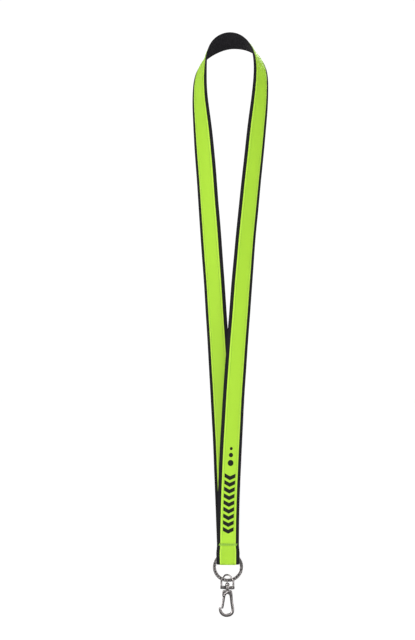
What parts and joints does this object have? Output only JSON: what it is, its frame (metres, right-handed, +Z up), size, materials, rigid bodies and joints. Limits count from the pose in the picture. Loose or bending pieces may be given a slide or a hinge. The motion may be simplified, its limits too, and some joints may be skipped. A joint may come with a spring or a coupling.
{
  "type": "lanyard badge holder",
  "caption": "Neck lanyard of twisted flat webbing with a sewn-on ribbon, a split ring in its folded end, and a swivel snap hook with a sprung gate that takes a badge.",
  "frame": {"origin": "middle of the neck loop's top, on the webbing's inner face, where the loop rests on a neck or a peg", "axes": "+Z up, -Y towards the front that the bright ribbon faces, +X to the right as seen from the front"},
  "size_m": [0.0664, 0.059, 0.5013],
  "materials": {
    "webbing": "woven black polyester, matt",
    "ribbon": "lime satin ribbon with a black printed pattern",
    "thread": "lime sewing thread",
    "ring_plate": "nickel plate, softly polished",
    "clasp_plate": "nickel-plated die casting, polished",
    "spring_wire": "bare spring steel wire"
  },
  "bodies": {
    "strap": {"webbing_strap": "webbing", "lime_ribbon": "ribbon", "inner_edge_stitch": "thread", "outer_edge_stitch": "thread", "tack_needle_thread": "thread", "tack_bobbin_thread": "thread"},
    "tab": {"tab_webbing": "webbing", "tab_ribbon": "ribbon"},
    "ring": {"split_ring": "ring_plate"},
    "stirrup": {"swivel_stirrup": "clasp_plate"},
    "hook": {"hook_body": "clasp_plate", "swivel_post": "clasp_plate", "gate_pin": "clasp_plate", "gate_spring": "spring_wire"},
    "gate": {"gate_lever": "clasp_plate"}
  },
  "joints": [
    {"name": "tab_swing", "type": "hinge", "parent": "strap", "child": "tab", "pos_m": [0, -0.047, -0.436], "axis": [1, 0, 0], "range_deg": [-45, 45]},
    {"name": "ring_turn", "type": "hinge", "parent": "tab", "child": "ring", "pos_m": [0, -0.047, -0.4513], "axis": [0, 1, 0], "continuous": true},
    {"name": "clasp_slide", "type": "hinge", "parent": "tab", "child": "stirrup", "pos_m": [0, -0.047, -0.4513], "axis": [0, 1, 0], "range_deg": [-60, 60]},
    {"name": "hook_swivel", "type": "hinge", "parent": "stirrup", "child": "hook", "pos_m": [-0.0005, -0.047, -0.469], "axis": [0, 0, 1], "continuous": true},
    {"name": "gate_open", "type": "hinge", "parent": "hook", "child": "gate", "pos_m": [-0.0033, -0.047, -0.4756], "axis": [0, -1, 0], "range_deg": [0, 28], "stiffness_Nm_per_rad": 0.01, "springref_deg": -17.19}
  ]
}
